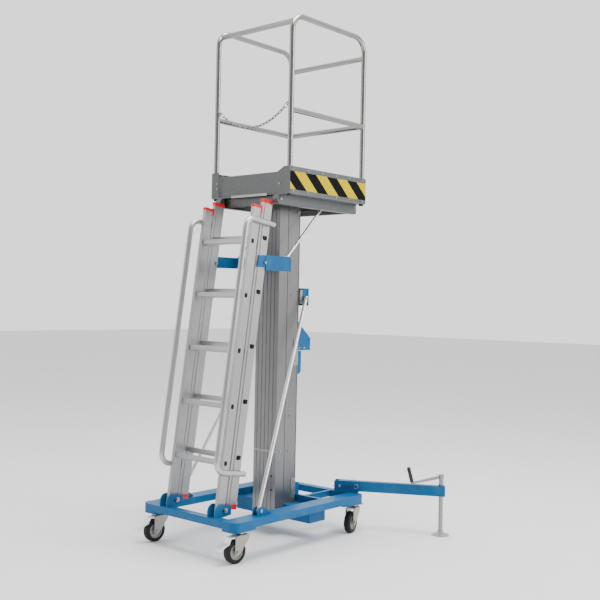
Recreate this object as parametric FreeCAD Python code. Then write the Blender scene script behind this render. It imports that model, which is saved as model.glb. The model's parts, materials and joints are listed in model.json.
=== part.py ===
"""Hand-winched mast work platform with an access ladder.

A steel base on four swivel casters carries a two-section aluminium mast. A winch lifts the front
section, and with it a railed platform. A two-section ladder is hinged to the platform's yoke and to
the base, and lengthens as the platform rises. Two fold-up outriggers with screw jacks steady it.

+X is the right-hand side, +Y points away from the ladder, +Z is up. Depths are measured from the
front face of the base's front rail; save() moves every shape back so that the frame's origin lies
on the floor under the middle of the bounding box.
"""
import FreeCAD, Part
import math
import os

from FreeCAD import Vector

# ---------------------------------------------------------------- driving dimensions, mm
ORIGIN_Y = 666.0          # depth of the frame's origin behind the front rail's face

BASE_W, BASE_L = 734.0, 1092.0
RAIL_Z0, RAIL_Z1 = 180.0, 220.0
SIDE_RAIL_W, END_RAIL_W = 100.0, 50.0
WALL = 3.0

WHEEL_R, WHEEL_W = 62.5, 37.0
CASTER_X, CASTER_FRONT_Y, CASTER_REAR_Y = 318.0, 94.0, 1048.0
CASTER_TRAIL = 40.0
CASTER_TURN_FRONT, CASTER_TURN_REAR = -6.0, 14.0   # degrees, trail direction away from -Y

MAST_W = 176.0
SLIDER_Y0, SLIDER_Y1 = 602.0, 676.0
COLUMN_Y0, COLUMN_Y1 = 677.0, 778.5
SLIDER_Z0, COLUMN_Z0, COLUMN_Z1 = 115.0, 102.0, 1930.0
KEY_X = 50.0              # the slider's two T-keys
PLUG_X, PLUG_Z = 56.0, (267.0, 347.0)    # plugged holes in the slider's face

DECK_TOP, DECK_T = 1958.0, 4.0
PLATFORM_X = 309.0        # outer half-width over the toe boards
PLATFORM_Y0, PLATFORM_Y1 = 430.0, 1118.0
BOARD_H, BOARD_T = 148.0, 3.0
POST_X, POST_Y0, POST_Y1 = 290.4, 448.6, 1099.4
TUBE_R, HANDRAIL_R, TUBE_WALL = 15.5, 15.0, 2.0
HOOP_TOP, HOOP_BEND = 2946.7, 90.0
MID_RAIL_Z, REAR_TOP_Z, FRONT_TOP_Z = 2420.4, 2832.0, 2915.0
FRAME_Z0 = 1897.0         # underside of the channels below the deck

LEAN = 8.205              # degrees, the ladder's lean from the vertical
LADDER_Y, LADDER_Z = 87.6, 498.4     # centre of the front section's lowest rung
LADDER_X, STILE_T = 201.0, 22.0      # outer half-width and stile thickness
RUNG_PITCH, RUNG_COUNT = 300.0, 5
FRONT_D0, FRONT_D1 = -20.0, 33.0     # the front stile's depth, from its rungs' axis
FLY_D0, FLY_STEP, FLY_D1 = 47.0, 65.0, 120.0
FRONT_RUNG_HALF, FLY_RUNG_HALF = 13.0, 19.5
FLY_RUNG_D, FLY_RUNG_S = 92.0, 33.6
FRONT_S0, FRONT_S1 = -270.0, 1392.0  # stile ends, along the ladder from the lowest rung
FLY_S0, FLY_S1 = -231.0, 1437.0
HANDRAIL_X, HANDRAIL_D = 217.2, -82.0
HANDRAIL_S0, HANDRAIL_S1, HANDRAIL_END_D, HANDRAIL_BEND = -51.0, 1316.0, 135.0, 60.0

YOKE_PIVOT_Y, YOKE_PIVOT_Z = 352.0, 1570.0
FOOT_PIVOT_Y, FOOT_PIVOT_Z = 75.0, 255.0
FOOT_SLOT = 17.0          # how far the foot bolts travel in their ears
PIN_R, RUNNING = 6.0, 0.05

CROSSBAR_Y0, CROSSBAR_Y1, CROSSBAR_Z0, CROSSBAR_Z1, CROSSBAR_X = 802.0, 854.0, 1337.0, 1440.0, 100.0
BRACE_LOW, BRACE_HIGH, BRACE_R = (308.0, 232.0, 245.0), (113.0, 814.0, 1380.0), 10.5

WINCH_Y, WINCH_Z, DRUM_R, DRUM_FLANGE_R = 832.0, 1112.0, 30.0, 38.0
CRANK_THROW = 100.0
PULLEY_Y, PULLEY_Z, PULLEY_R = 760.0, 1885.0, 28.0
CABLE_R = 2.5

ARM_LEN, ARM_W, ARM_H, ARM_Z = 603.0, 40.0, 60.0, 260.0
JACK_X, JACK_Y = 742.5, 1338.8
ARM_ANGLE = 28.6          # degrees, the right arm's direction from +X towards +Y
SPINDLE_R, SPINDLE_TOP, FOOT_R = 13.0, 345.0, 53.0
LOCK_PIN_AT = 100.0       # along the arm from its fold pivot
JACK_CRANK = 178.0
JACK_CRANK_DROP = 15.0    # degrees
JACK_CRANK_DIR = 221.0    # degrees from +X, the right crank at rest
GRIP_LEN = 88.0

CHAIN_X, CHAIN_Y, CHAIN_Z = 262.0, 448.6, 2455.0
LINK_WIRE, LINK_ARC, LINK_STRAIGHT, LINK_COUNT, LINK_GAP = 2.5, 6.0, 18.2, 21, 0.6
RING_WIRE, RING_ARC, RING_STRAIGHT, RING_PAST_LUG = 2.0, 10.0, 14.0, 1.5

GATE_PIVOT_X, GATE_PIVOT_Y = -230.0, 442.0

X, Y, Z = Vector(1, 0, 0), Vector(0, 1, 0), Vector(0, 0, 1)


# ---------------------------------------------------------------- small helpers
def box(x0, x1, y0, y1, z0, z1):
    return Part.makeBox(x1 - x0, y1 - y0, z1 - z0, Vector(x0, y0, z0))


def rod(start, end, radius):
    """A round bar between two points."""
    start, end = Vector(*start), Vector(*end)
    return Part.makeCylinder(radius, (end - start).Length, start, end - start)


def hollow_rod(start, end, radius, bore):
    return rod(start, end, radius).cut(rod(start, end, bore))


def prism_yz(points, x0, x1):
    """A plate cut to an outline in (y, z) and running from x0 to x1."""
    wire = Part.makePolygon([Vector(x0, y, z) for y, z in points + points[:1]])
    return Part.Face(wire).extrude(Vector(x1 - x0, 0, 0))


def prism_xz(points, y0, y1):
    wire = Part.makePolygon([Vector(x, y0, z) for x, z in points + points[:1]])
    return Part.Face(wire).extrude(Vector(0, y1 - y0, 0))


def prism_xy(points, z0, z1):
    wire = Part.makePolygon([Vector(x, y, z0) for x, y in points + points[:1]])
    return Part.Face(wire).extrude(Vector(0, 0, z1 - z0))


def fuse(shapes):
    return shapes[0].multiFuse(shapes[1:]).removeSplitter() if len(shapes) > 1 else shapes[0]


def mirror_x(shape):
    return shape.mirror(Vector(0, 0, 0), X)


def both_sides(shape):
    """The right-hand shape and its mirror image on the left."""
    return [shape, mirror_x(shape)]


def turned(shape, angle, centre, axis):
    copy = shape.copy()
    copy.rotate(Vector(*centre), axis, angle)
    return copy


def moved(shape, x, y, z):
    copy = shape.copy()
    copy.translate(Vector(x, y, z))
    return copy


def rounded_path(points, bend):
    """A wire through the points, with every inner corner an arc of radius bend."""
    points = [Vector(*p) for p in points]
    edges, last = [], points[0]
    for before, corner, after in zip(points, points[1:], points[2:]):
        a, b = (before - corner).normalize(), (after - corner).normalize()
        half = a.getAngle(b) / 2
        reach = bend / math.tan(half)
        start, end = corner + a * reach, corner + b * reach
        middle = corner + (a + b).normalize() * (bend / math.sin(half) - bend)
        edges += [Part.LineSegment(last, start).toShape(), Part.Arc(start, middle, end).toShape()]
        last = end
    edges.append(Part.LineSegment(last, points[-1]).toShape())
    return Part.Wire(edges)


def swept(path, radius):
    start = path.Edges[0]
    at = start.FirstParameter
    circle = Part.makeCircle(radius, start.valueAt(at), start.tangentAt(at))
    return path.makePipeShell([Part.Wire(circle)], True, False)


def bent_tube(points, bend, radius, bore):
    path = rounded_path(points, bend)
    return swept(path, radius).cut(swept(path, bore))


def bolt(start, end, radius, head_r, head_h):
    """A shank with a hexagon head beyond its start and a nut beyond its end."""
    start, end = Vector(*start), Vector(*end)
    along = (end - start).normalize()
    parts = [rod(tuple(start), tuple(end), radius)]
    for point, direction in ((start, -along), (end, along)):
        side = along.cross(Z if abs(along.z) < 0.9 else X).normalize() * head_r
        corners = []
        for k in range(7):
            spoke = FreeCAD.Rotation(along, 60 * k).multVec(side)
            corners.append(point + spoke)
        parts.append(Part.Face(Part.makePolygon(corners)).extrude(direction * head_h))
    return fuse(parts)


def save(name, *shapes):
    """Write one node: one solid, or a group of separate solids."""
    solids = []
    for shape in shapes:
        placed = moved(shape, 0, -ORIGIN_Y, 0)
        solids += placed.Solids
    result = solids[0] if len(solids) == 1 else Part.makeCompound(solids)
    bad = [s for s in solids if not s.isValid()]
    print(f"{name:24s} solids {len(solids):3d}  volume {sum(s.Volume for s in solids) / 1000:10.1f} cm3"
          + ("  INVALID" if bad else ""))
    result.exportStep(os.path.join("parts", name + ".step"))
    return result.BoundBox


# ---------------------------------------------------------------- base
def rounded_plan(half_x, y0, y1, radius, z0, z1):
    block = box(-half_x, half_x, y0, y1, z0, z1)
    corners = [e for e in block.Edges if abs(e.tangentAt(0).z) > 0.9]
    return block.makeFillet(radius, corners)


def base_ring():
    """The welded rectangle of tube, hollow, with a drain hole under each corner."""
    inner_x, half = BASE_W / 2 - SIDE_RAIL_W, BASE_W / 2
    ring = rounded_plan(half, 0, BASE_L, 40, RAIL_Z0, RAIL_Z1)
    ring = ring.cut(box(-inner_x, inner_x, END_RAIL_W, BASE_L - END_RAIL_W, RAIL_Z0, RAIL_Z1))
    void = rounded_plan(half - WALL, WALL, BASE_L - WALL, 37, RAIL_Z0 + WALL, RAIL_Z1 - WALL)
    void = void.cut(box(-inner_x - WALL, inner_x + WALL, END_RAIL_W - WALL, BASE_L - END_RAIL_W + WALL,
                        RAIL_Z0, RAIL_Z1))
    ring = ring.cut(void)
    for x in (-inner_x - 15, inner_x + 15):
        for y in (25, BASE_L - 25):
            ring = ring.cut(rod((x, y, RAIL_Z0 - 1), (x, y, RAIL_Z0 + WALL + 1), 4))
    return ring


def corner_gusset(front):
    """The chamfered plate under one right-hand corner, which the caster bolts to."""
    inner, outer, depth, cut = 248.0, BASE_W / 2 - 2, 158.0, 22.0
    outline = [(inner + cut, 2), (outer - cut, 2), (outer, 2 + cut), (outer, depth),
               (outer - cut, depth + cut), (inner + cut, depth + cut), (inner, depth), (inner, 2 + cut)]
    plate = prism_xy(outline, RAIL_Z0 - 14, RAIL_Z0)
    return plate if front else moved(plate.mirror(Vector(0, 0, 0), Y), 0, BASE_L, 0)


def base_frame():
    inner_x = BASE_W / 2 - SIDE_RAIL_W
    parts = [base_ring()]
    for front in (True, False):
        parts += both_sides(corner_gusset(front))
    cross = box(-inner_x, inner_x, 790, 815, RAIL_Z0, RAIL_Z1)
    cross = cross.cut(box(-inner_x, inner_x, 790 + WALL, 815 - WALL, RAIL_Z0 + WALL, RAIL_Z1 - WALL))
    long_bar = box(130, 150, 815, BASE_L - END_RAIL_W, 184, RAIL_Z1)
    bore = box(130 + WALL, 150 - WALL, 815, BASE_L - END_RAIL_W, 184 + WALL, RAIL_Z1 - WALL)
    long_bar = long_bar.cut(bore)
    stud = rod((-BASE_W / 2 + 15, 17, RAIL_Z1 - 1), (-BASE_W / 2 + 15, 17, RAIL_Z1 + 4), 3)
    return fuse(parts + [cross] + both_sides(long_bar) + [stud])


def mast_cradle():
    """The deep transverse box that the column stands in, under the side rails."""
    outer = box(-290, 290, COLUMN_Y0, 815, 98, RAIL_Z0)
    outer = outer.cut(box(-286, 286, COLUMN_Y0 + 4, 811, 102, RAIL_Z0 - 4))
    return outer.cut(box(-MAST_W / 2, MAST_W / 2, COLUMN_Y0, COLUMN_Y1, 102, RAIL_Z0))


def ladder_ear(x0, x1):
    """One ear of a ladder foot bracket; its slot lets the foot bolt shift as the ladder steepens."""
    outline = [(0, RAIL_Z1), (0, 252), (6, 270), (18, 283), (36, 289), (118, 277), (118, 226), (52, RAIL_Z1)]
    ear = prism_yz(outline, x0, x1)
    slot_r = PIN_R + 2.5
    low, high = FOOT_PIVOT_Y - FOOT_SLOT, FOOT_PIVOT_Y + 0.5
    slot = box(x0, x1, low, high, FOOT_PIVOT_Z - slot_r, FOOT_PIVOT_Z + slot_r)
    for y in (low, high):
        slot = slot.fuse(rod((x0, y, FOOT_PIVOT_Z), (x1, y, FOOT_PIVOT_Z), slot_r))
    return ear.cut(slot)


def brace_bracket():
    """Two cheeks on the side rail, joined by a foot, which hold a brace's lower bolt."""
    x, y, z = BRACE_LOW
    outline = [(y - 27, RAIL_Z1), (y - 27, 244), (y - 20, 258), (y - 6, 265), (y + 26, 265),
               (y + 80, RAIL_Z1 + 6), (y + 80, RAIL_Z1)]
    cheek = prism_yz(outline, x + 14, x + 19)
    other = moved(cheek, -33, 0, 0)
    foot = box(x - 14, x + 14, y + 20, y + 80, RAIL_Z1, RAIL_Z1 + 5)
    return fuse([cheek, other, foot]).cut(rod((x - 20, y, z), (x + 20, y, z), PIN_R))


def brace_tube():
    (x0, y0, z0), (x1, y1, z1) = BRACE_LOW, BRACE_HIGH
    axis = Vector(x1 - x0, y1 - y0, z1 - z0).normalize() * 12
    low = (x0 - axis.x, y0 - axis.y, z0 - axis.z)
    high = (x1 + axis.x, y1 + axis.y, z1 + axis.z)
    tube = hollow_rod(low, high, BRACE_R, BRACE_R - 2)
    for x, y, z in (BRACE_LOW, BRACE_HIGH):
        tube = tube.cut(rod((x - 20, y, z), (x + 20, y, z), PIN_R if z == z0 else 4))
    return tube


def crossbar():
    """The open-ended rectangular tube behind the column that the braces run up to."""
    outer = box(-CROSSBAR_X, CROSSBAR_X, CROSSBAR_Y0, CROSSBAR_Y1, CROSSBAR_Z0, CROSSBAR_Z1)
    inner = box(-CROSSBAR_X, CROSSBAR_X, CROSSBAR_Y0 + 4, CROSSBAR_Y1 - 4, CROSSBAR_Z0 + 4, CROSSBAR_Z1 - 4)
    tab = box(92, 97, CROSSBAR_Y0 + 4, CROSSBAR_Y1 - 4, CROSSBAR_Z0 + 4, CROSSBAR_Z1 - 4)
    tab = tab.cut(rod((88, BRACE_HIGH[1], BRACE_HIGH[2]), (110, BRACE_HIGH[1], BRACE_HIGH[2]), 4))
    return fuse([outer.cut(inner)] + both_sides(tab))


def column_section(z0, z1):
    half = MAST_W / 2
    body = box(-half, half, COLUMN_Y0, COLUMN_Y1, z0, z1)
    cavity = box(-half + 5, half - 5, COLUMN_Y0 + 22, COLUMN_Y1 - 5, z0, z1)
    body = body.cut(cavity)
    for x in (-KEY_X, KEY_X):
        body = body.cut(box(x - 9, x + 9, COLUMN_Y0, COLUMN_Y0 + 6, z0, z1))
        body = body.cut(box(x - 17, x + 17, COLUMN_Y0 + 6, COLUMN_Y0 + 18, z0, z1))
        side = math.copysign(half, x)
        body = body.cut(box(side - 2, side + 2, COLUMN_Y0 + 75, COLUMN_Y1 - 4, z0, z1))
    return body.cut(box(-12, 12, COLUMN_Y0, COLUMN_Y0 + 22, z0, z1))


def mast_column():
    """The fixed rear section of the mast: T-slots in front, a cable slot, and the head pulley's window."""
    column = column_section(COLUMN_Z0, COLUMN_Z1)
    column = column.cut(box(-9, 9, COLUMN_Y1 - 6, COLUMN_Y1 + 1, PULLEY_Z - 45, COLUMN_Z1))
    column = column.cut(rod((-100, PULLEY_Y, PULLEY_Z), (100, PULLEY_Y, PULLEY_Z), 8))
    for z in (486, 690, 1398, 1640):
        column = column.cut(rod((MAST_W / 2 - 6, 706, z), (MAST_W / 2 + 1, 706, z), 4))
    return column


def foot_bracket():
    """A round-topped plate beside the column's foot, behind the mast, with a flange across its rear face."""
    top, rear, turn = 293.0, 812.0, 14.0
    outline = [(COLUMN_Y1, RAIL_Z1), (COLUMN_Y1, top)]
    for k in range(5):
        angle = math.radians(90 - 22.5 * k)
        outline.append((rear - turn + turn * math.cos(angle), top - turn + turn * math.sin(angle)))
    outline.append((rear, RAIL_Z1))
    flange = box(60, 88, COLUMN_Y1, COLUMN_Y1 + 5, RAIL_Z1, top - 8)
    return prism_yz(outline, 82, 88).fuse(flange).removeSplitter()


def clamp_plates():
    """Zinc plates on the column's flanks at the foot and at the winch, and the crossbar's spacers."""
    half = MAST_W / 2
    foot = box(half, half + 4, 736, 774, 186, 322)
    winch = box(half, half + 4, 738, 776, 985, 1140)
    spacer = box(56, 98, COLUMN_Y1, CROSSBAR_Y0, CROSSBAR_Z0 + 10, CROSSBAR_Z1 - 10)
    parts = []
    for plate in (foot, winch, spacer):
        parts += both_sides(plate)
    return parts


def base_bolts():
    """Every bolt of the base: brace ends, column plates, and the head pulley's axle."""
    x, y, z = BRACE_LOW
    parts = both_sides(bolt((x - 19, y, z), (x + 19, y, z), PIN_R, 9, 6))
    _, hy, hz = BRACE_HIGH
    parts += both_sides(bolt((92, hy, hz), (125, hy, hz), 4, 7, 4))
    half = MAST_W / 2 + 4
    for z in (210, 255, 300, 1010, 1062, 1115):
        head = rod((half, 755, z), (half + 5, 755, z), 6)
        parts += both_sides(head)
    parts.append(bolt((-MAST_W / 2, PULLEY_Y, PULLEY_Z), (MAST_W / 2, PULLEY_Y, PULLEY_Z), 8, 12, 6))
    return parts


def winch_channel():
    """A web on the column's rear face, with two side flanges below the hood."""
    outline = [(-80, 932), (80, 932), (80, 1143), (42, 1263), (-42, 1263), (-80, 1143)]
    web = prism_xz(outline, COLUMN_Y1, COLUMN_Y1 + 5.5)
    flange = prism_yz([(COLUMN_Y1, 932), (803, 932), (818, 947), (818, 1068), (COLUMN_Y1, 1068)], 74, 80)
    return fuse([web] + both_sides(flange))


def winch_hood():
    """A folded cover: a box open below, with a hipped top that runs up to the mast."""
    def shell(inset):
        y0, y1 = 784.0 - inset, 899.0 - inset
        half, z0, z1, top = 80.0 - inset, 1071.0 - inset, 1143.0, 1263.0 - inset
        body = box(-half, half, y0, y1, z0, z1)
        low = Part.makePolygon([Vector(-half, y0, z1), Vector(half, y0, z1), Vector(half, y1, z1),
                                Vector(-half, y1, z1), Vector(-half, y0, z1)])
        hx, hy = 42.0 - inset, 804.0 - inset
        high = Part.makePolygon([Vector(-hx, y0, top), Vector(hx, y0, top), Vector(hx, hy, top),
                                 Vector(-hx, hy, top), Vector(-hx, y0, top)])
        return body.fuse(Part.makeLoft([low, high], True, True)).removeSplitter()
    hood = shell(0).cut(shell(3))
    lip = box(-80, 80, 899, 907, 1071, 1074)
    hood = fuse([hood, lip]).cut(box(-6, 6, 783, 802, 1255, 1265))
    return hood.cut(rod((-90, WINCH_Y, WINCH_Z), (-60, WINCH_Y, WINCH_Z), 8 + RUNNING))


def lift_cable():
    """The cable's fixed run, from the drum up to the back of the head pulley."""
    start = (0, WINCH_Y - DRUM_R - CABLE_R - 0.3, WINCH_Z)
    end = (0, PULLEY_Y + PULLEY_R + CABLE_R + 0.3, PULLEY_Z)
    return rod(start, end, CABLE_R)


def winch_drum():
    """Drum, shaft and crank arm, which turn together."""
    drum = rod((-24, WINCH_Y, WINCH_Z), (24, WINCH_Y, WINCH_Z), DRUM_R)
    parts = [drum, rod((-108, WINCH_Y, WINCH_Z), (68, WINCH_Y, WINCH_Z), 8)]
    for x in (-26, 22):
        parts.append(rod((x, WINCH_Y, WINCH_Z), (x + 4, WINCH_Y, WINCH_Z), DRUM_FLANGE_R))
    return fuse(parts)


def winch_crank():
    low = WINCH_Z - CRANK_THROW
    arm = box(-114, -108, WINCH_Y - 12, WINCH_Y + 12, low, WINCH_Z)
    ends = [rod((-114, WINCH_Y, z), (-108, WINCH_Y, z), 12) for z in (low, WINCH_Z)]
    pin = rod((-226, WINCH_Y, low), (-108, WINCH_Y, low), 4)
    cap = rod((-229, WINCH_Y, low), (-226, WINCH_Y, low), 8)
    return fuse([arm] + ends + [pin, cap])


def winch_grip():
    low = WINCH_Z - CRANK_THROW
    grip = rod((-225.5, WINCH_Y, low), (-114.5, WINCH_Y, low), 13)
    rims = [e for e in grip.Edges if e.Closed]
    return grip.makeFillet(4, rims).cut(rod((-230, WINCH_Y, low), (-110, WINCH_Y, low), 4 + RUNNING))


def head_pulley():
    """A grooved sheave, 12 wide, on the column's head axle."""
    sheave = rod((-6, PULLEY_Y, PULLEY_Z), (6, PULLEY_Y, PULLEY_Z), PULLEY_R + 5)
    groove = Part.makeTorus(PULLEY_R + CABLE_R, CABLE_R + 1, Vector(0, PULLEY_Y, PULLEY_Z), X)
    outer = rod((-CABLE_R - 1, PULLEY_Y, PULLEY_Z), (CABLE_R + 1, PULLEY_Y, PULLEY_Z), PULLEY_R + 6)
    outer = outer.cut(rod((-10, PULLEY_Y, PULLEY_Z), (10, PULLEY_Y, PULLEY_Z), PULLEY_R + CABLE_R))
    sheave = sheave.cut(groove).cut(outer)
    return sheave.cut(rod((-10, PULLEY_Y, PULLEY_Z), (10, PULLEY_Y, PULLEY_Z), 8 + RUNNING))


# ---------------------------------------------------------------- casters
CASTERS = {
    "front_right": (CASTER_X, CASTER_FRONT_Y, CASTER_TURN_FRONT),
    "front_left": (-CASTER_X, CASTER_FRONT_Y, CASTER_TURN_FRONT),
    "rear_right": (CASTER_X, CASTER_REAR_Y, CASTER_TURN_REAR),
    "rear_left": (-CASTER_X, CASTER_REAR_Y, CASTER_TURN_REAR),
}
PLATE_Z0, PLATE_Z1 = 162.0, 166.0
FORK_Z0, FORK_Z1 = 141.0, 146.0
PEDAL_Y, PEDAL_Z = -46.0, 132.0
LEG_IN, LEG_OUT = 23.5, 27.5


def at_caster(shape, name):
    x, y, turn = CASTERS[name]
    return moved(turned(shape, turn, (0, 0, 0), Z), x, y, 0)


def caster_plate():
    """The bolted top plate with its kingpin and four bolt heads."""
    plate = box(-46, 46, -42, 42, PLATE_Z0, PLATE_Z1)
    pin = rod((0, 0, 136), (0, 0, PLATE_Z0), 6)
    nut = rod((0, 0, 131), (0, 0, 138), 9.5)
    heads = [rod((x, y, PLATE_Z0 - 5), (x, y, PLATE_Z0), 5.5) for x in (-36, 36) for y in (-31, 31)]
    return fuse([plate, pin, nut] + heads)


def caster_fork(with_brake):
    """Swivel race, fork crown, two legs and the wheel's axle."""
    race = rod((0, 0, FORK_Z1), (0, 0, 157), 31).fuse(rod((0, 0, 157), (0, 0, 161.5), 27))
    crown = box(-LEG_OUT, LEG_OUT, -38, 34, FORK_Z0, FORK_Z1)
    leg_outline = [(-56, 128), (-50, FORK_Z0 + 1), (34, FORK_Z0 + 1), (34, 128), (-22, 54), (-34, 44),
                   (-48, 45), (-58, 58)]
    legs = both_sides(prism_yz(leg_outline, LEG_IN, LEG_OUT))
    axle = bolt((-LEG_OUT, -CASTER_TRAIL, WHEEL_R), (LEG_OUT, -CASTER_TRAIL, WHEEL_R), PIN_R, 9, 5)
    parts = [race, crown, axle] + legs
    if with_brake:
        parts.append(rod((-LEG_IN, PEDAL_Y, PEDAL_Z), (LEG_IN, PEDAL_Y, PEDAL_Z), 3))
    fork = fuse(parts).cut(rod((0, 0, 130), (0, 0, 165), 6 + RUNNING))
    return fork


def caster_wheel():
    """A tyre with rounded shoulders on a dished hub."""
    half = WHEEL_W / 2
    y, z = -CASTER_TRAIL, WHEEL_R
    tyre = rod((-half, y, z), (half, y, z), WHEEL_R)
    tyre = tyre.makeFillet(7, [e for e in tyre.Edges if e.Closed])
    tyre = tyre.cut(rod((-half, y, z), (half, y, z), 42))
    hub = rod((-half + 2, y, z), (half - 2, y, z), 42)
    dish = rod((half - 8, y, z), (half, y, z), 35).cut(rod((half - 8, y, z), (half, y, z), 18))
    hub = hub.cut(dish).cut(moved(dish, 8 - WHEEL_W, 0, 0))
    hub = hub.fuse(rod((1 - LEG_IN, y, z), (LEG_IN - 1, y, z), 15))
    hub = hub.cut(rod((-30, y, z), (30, y, z), PIN_R + RUNNING))
    return [tyre, hub.removeSplitter()]


def caster_pedal():
    """The brake's pedal: a hinge barrel, a folded upper plate and a lower step with a turned-down lip."""
    half = LEG_IN - 1
    barrel = rod((-half, PEDAL_Y, PEDAL_Z), (half, PEDAL_Y, PEDAL_Z), 6.5)
    outline = [(PEDAL_Y, 135), (PEDAL_Y, 140.5), (-84, 141), (-99, 111), (-93, 109), (-80, 135)]
    upper = prism_yz(outline, -half, half)
    lower = prism_yz([(-92, 114), (-118, 105), (-149, 92), (-153, 77), (-148, 76), (-144, 87), (-117, 99),
                      (-92, 109)], -half - 2, half + 2)
    pedal = fuse([barrel, upper, lower])
    return pedal.cut(rod((-LEG_IN, PEDAL_Y, PEDAL_Z), (LEG_IN, PEDAL_Y, PEDAL_Z), 3 + RUNNING))


# ---------------------------------------------------------------- outriggers
def at_outrigger(shape, side):
    """Place a shape built along +X from the fold pivot on the right outrigger, or mirror it."""
    placed = turned(shape, ARM_ANGLE, (0, 0, 0), Z)
    angle = math.radians(ARM_ANGLE)
    placed = moved(placed, JACK_X - ARM_LEN * math.cos(angle), JACK_Y - ARM_LEN * math.sin(angle), 0)
    return placed if side == "right" else mirror_x(placed)


def outrigger_bracket():
    """A clevis on the rear rail: two cheeks and a web, with open slots for the lock pin."""
    half, top = ARM_W / 2 + 1, ARM_Z + ARM_H / 2
    web = box(-34, 112, -half - 4, half + 4, RAIL_Z1, RAIL_Z1 + 6)
    cheek = box(-34, 112, half, half + 4, RAIL_Z1, top)
    other = box(-34, 112, -half - 4, -half, RAIL_Z1, top)
    at = LOCK_PIN_AT
    slot = [(at - 6, ARM_Z - 5.5), (at + 6, ARM_Z - 5.5), (at + 6, top), (at - 13, top), (at - 6, ARM_Z + 8)]
    bracket = fuse([web, cheek, other]).cut(prism_xz(slot, -40, 40))
    return bracket.cut(rod((0, -40, ARM_Z), (0, 40, ARM_Z), PIN_R))


def outrigger_arm():
    """The square tube, its fold-pivot eye, its lock pin and its jack sleeve."""
    w, h, z = ARM_W / 2, ARM_H / 2, ARM_Z
    arm = box(0, ARM_LEN + 24, -w, w, z - h, z + h).fuse(rod((0, -w, z), (0, w, z), h - 1))
    arm = arm.cut(box(20, ARM_LEN + 21, -w + 3, w - 3, z - h + 3, z + h - 3)).removeSplitter()
    sleeve = rod((ARM_LEN, 0, z - h), (ARM_LEN, 0, z + h + 6), SPINDLE_R + 3)
    arm = arm.fuse(sleeve).cut(rod((ARM_LEN, 0, z - 50), (ARM_LEN, 0, z + 50), SPINDLE_R + 0.3))
    arm = arm.cut(rod((0, -40, z), (0, 40, z), PIN_R + RUNNING))
    pin = rod((LOCK_PIN_AT, -34, z), (LOCK_PIN_AT, 34, z), 5)
    return [arm.cut(pin).removeSplitter(), pin]


def outrigger_pivot():
    return bolt((0, ARM_W / 2 + 5, ARM_Z), (0, -ARM_W / 2 - 5, ARM_Z), PIN_R, 9.5, 6)


def jack_foot():
    """The ground plate with a domed boss and a blind socket for the spindle's tip."""
    disc = rod((0, 0, 0), (0, 0, 5), FOOT_R)
    dome = Part.makeCone(FOOT_R - 4, 17, 13, Vector(0, 0, 5), Z)
    boss = rod((0, 0, 18), (0, 0, 29), 17)
    foot = fuse([disc, dome, boss]).cut(rod((0, 0, 11), (0, 0, 30), 7 + RUNNING))
    return moved(foot, ARM_LEN, 0, 0)


def crank_vector():
    """The jack crank's direction at rest, in the outrigger's own axes."""
    turn = math.radians(JACK_CRANK_DIR - ARM_ANGLE)
    drop = math.radians(JACK_CRANK_DROP)
    return Vector(math.cos(turn) * math.cos(drop), math.sin(turn) * math.cos(drop), -math.sin(drop))


def grip_axis():
    """The grip stands square to the sloping crank arm."""
    along = crank_vector()
    level = Vector(along.x, along.y, 0).normalize()
    drop = math.radians(JACK_CRANK_DROP)
    return level * math.sin(drop) + Z * math.cos(drop)


def jack_screw():
    """Spindle, tip, hub and the crank arm, a bar on edge that tapers to its grip pin."""
    spindle = rod((0, 0, 29.5), (0, 0, SPINDLE_TOP), SPINDLE_R)
    tip = rod((0, 0, 11.5), (0, 0, 30), 7)
    hub = rod((0, 0, SPINDLE_TOP - 14), (0, 0, SPINDLE_TOP + 12), 15)
    along, up = crank_vector(), grip_axis()
    side = along.cross(up).normalize()
    top = Vector(0, 0, SPINDLE_TOP + 9)
    end = top + along * JACK_CRANK
    near, depth = top - side * 6, up * -20
    corners = [near, near + along * JACK_CRANK, near + along * JACK_CRANK + depth * 0.5, near + depth, near]
    bar = Part.Face(Part.makePolygon(corners)).extrude(side * 12)
    tip_end = Part.makeCylinder(8, 10, end - up * 10, up)
    pin = Part.makeCylinder(4, GRIP_LEN + 4, end, up)
    cap = Part.makeCylinder(6.5, 3, end + up * (GRIP_LEN + 2), up)
    return moved(fuse([spindle, tip, hub, bar, tip_end, pin, cap]), ARM_LEN, 0, 0)


def jack_grip():
    along, up = crank_vector(), grip_axis()
    start = Vector(0, 0, SPINDLE_TOP + 9) + along * JACK_CRANK + up * 0.6
    grip = Part.makeCylinder(11, GRIP_LEN, start, up)
    grip = grip.makeFillet(3, [e for e in grip.Edges if e.Closed])
    return moved(grip.cut(Part.makeCylinder(4 + RUNNING, GRIP_LEN + 20, start - up * 10, up)), ARM_LEN, 0, 0)


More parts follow.
